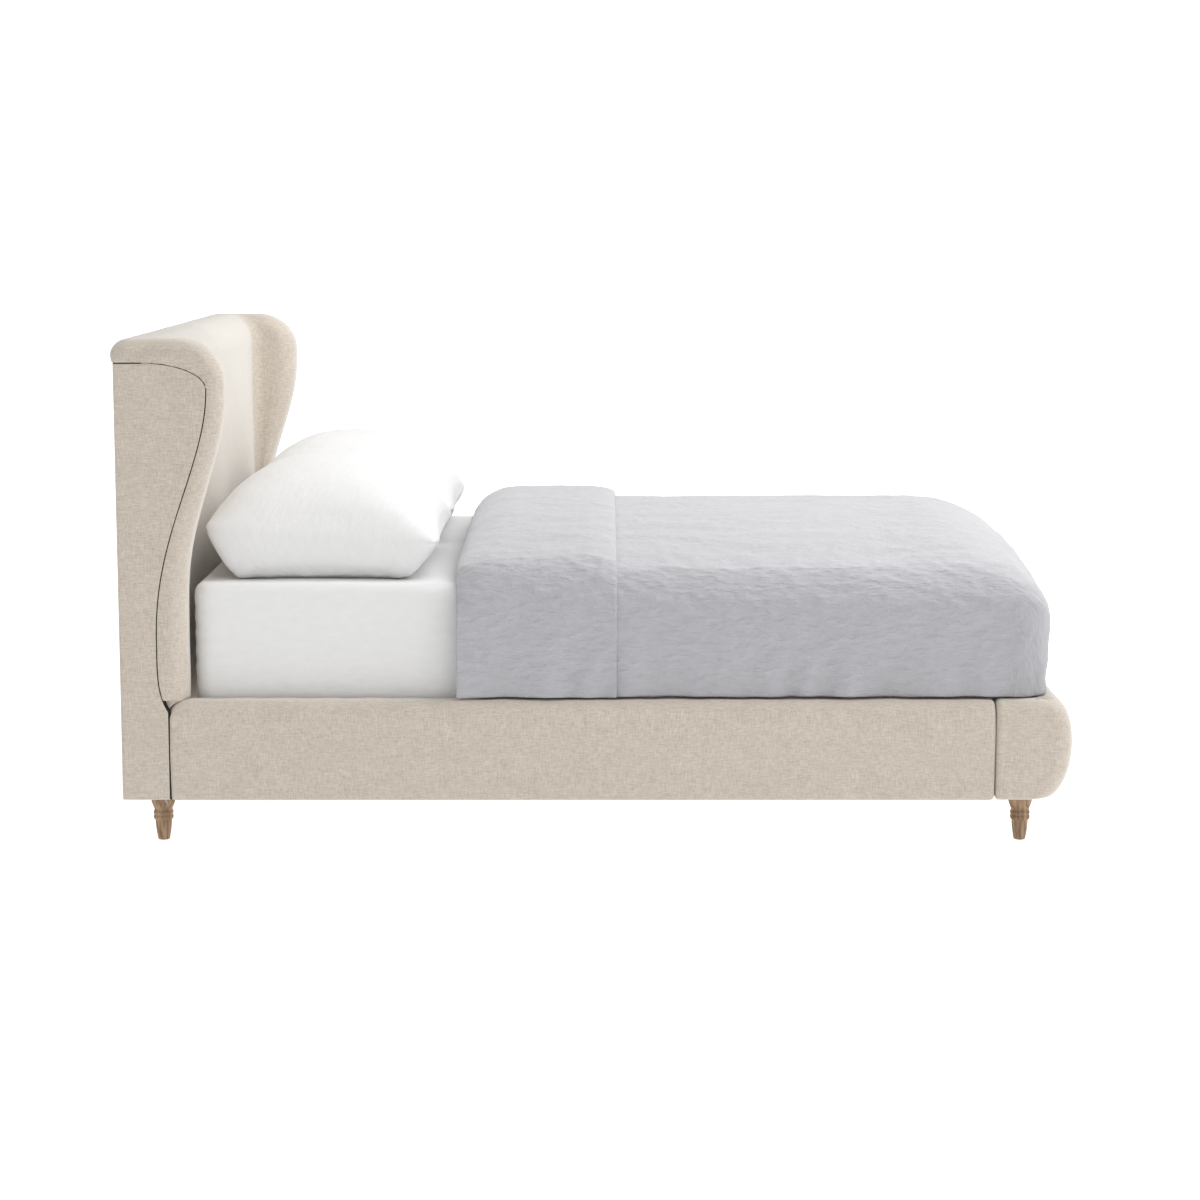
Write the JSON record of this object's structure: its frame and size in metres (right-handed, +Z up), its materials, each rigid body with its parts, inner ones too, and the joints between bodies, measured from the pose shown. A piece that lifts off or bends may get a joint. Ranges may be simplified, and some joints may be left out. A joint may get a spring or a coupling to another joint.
{
  "type": "upholstered headboard bed",
  "caption": "Upholstered bed with a winged, roll-edged headboard, padded rails, rounded footboard and turned feet, made up with mattress, pillows and folded-back duvet.",
  "frame": {"origin": "on the floor under the middle of the bed", "axes": "+X across the bed to the right as seen from its foot, +Y towards the headboard, +Z up"},
  "size_m": [1.64, 2.26, 1.196],
  "materials": {
    "oatmeal_linen": "woven linen-look upholstery, matt",
    "back_lining": "plain woven lining, matt",
    "upholstery_foam": "open-cell foam, matt",
    "pine": "planed softwood, unfinished",
    "birch_ply": "sanded birch ply, unfinished",
    "oiled_oak": "turned oak, oiled satin",
    "zinc_steel": "zinc plated, satin",
    "black_nylon": "moulded nylon, matt",
    "mattress_ticking": "knitted ticking, matt",
    "white_cotton": "fine cotton sheeting, matt",
    "grey_cotton": "washed cotton, matt"
  },
  "bodies": {
    "bed_frame": {"headboard_cover": "oatmeal_linen", "wing_side_panel_left": "oatmeal_linen", "wing_side_panel_right": "oatmeal_linen", "headboard_back_panel": "back_lining", "headboard_foam": "upholstery_foam", "headboard_plywood": "birch_ply", "headboard_stile_left": "pine", "headboard_stile_right": "pine", "headboard_top_rail": "pine", "headboard_bottom_rail": "pine", "wing_former_left": "birch_ply", "wing_former_right": "birch_ply", "rail_cover_left": "oatmeal_linen", "rail_board_left": "pine", "slat_ledger_left": "pine", "rail_cover_right": "oatmeal_linen", "rail_board_right": "pine", "slat_ledger_right": "pine", "footboard_cover": "oatmeal_linen", "footboard_frame": "pine", "footboard_padding": "upholstery_foam", "head_bracket_left": "zinc_steel", "foot_plate_left": "zinc_steel", "head_bolt_left": "zinc_steel", "foot_bolt_left": "zinc_steel", "head_bracket_right": "zinc_steel", "foot_plate_right": "zinc_steel", "head_bolt_right": "zinc_steel", "foot_bolt_right": "zinc_steel", "slat_01": "birch_ply", "slat_02": "birch_ply", "slat_03": "birch_ply", "slat_04": "birch_ply", "slat_05": "birch_ply", "slat_06": "birch_ply", "slat_07": "birch_ply", "slat_08": "birch_ply", "slat_09": "birch_ply", "slat_10": "birch_ply", "slat_11": "birch_ply", "slat_12": "birch_ply", "slat_13": "birch_ply", "centre_rail": "pine", "centre_rail_hanger_head": "zinc_steel", "centre_leg_head": "pine", "centre_rail_hanger_foot": "zinc_steel", "centre_leg_foot": "pine", "turned_foot_head_left": "oiled_oak", "turned_foot_head_right": "oiled_oak", "turned_foot_foot_left": "oiled_oak", "turned_foot_foot_right": "oiled_oak"},
    "mattress_and_sheet": {"mattress": "mattress_ticking", "fitted_sheet": "white_cotton"},
    "pillow_left_body": {"pillow_left": "white_cotton"},
    "pillow_right_body": {"pillow_right": "white_cotton"},
    "duvet_body": {"duvet": "grey_cotton"},
    "glide_head_body": {"levelling_glide_head": "black_nylon"},
    "glide_foot_body": {"levelling_glide_foot": "black_nylon"}
  },
  "joints": [
    {"name": "mattress_lift", "type": "slide", "parent": "bed_frame", "child": "mattress_and_sheet", "axis": [0, -0.15, 0.9887], "range_m": [0, 0.14]},
    {"name": "pillow_left_lift", "type": "slide", "parent": "mattress_and_sheet", "child": "pillow_left_body", "axis": [0, 0, 1], "range_m": [0, 0.4]},
    {"name": "pillow_right_lift", "type": "slide", "parent": "mattress_and_sheet", "child": "pillow_right_body", "axis": [0, 0, 1], "range_m": [0, 0.4]},
    {"name": "duvet_lift", "type": "slide", "parent": "mattress_and_sheet", "child": "duvet_body", "axis": [0, 0, 1], "range_m": [0, 0.5]},
    {"name": "glide_head_thread", "type": "slide", "parent": "bed_frame", "child": "glide_head_body", "axis": [0, 0, 1], "range_m": [0, 0.02]},
    {"name": "glide_foot_thread", "type": "slide", "parent": "bed_frame", "child": "glide_foot_body", "axis": [0, 0, 1], "range_m": [0, 0.02]}
  ]
}
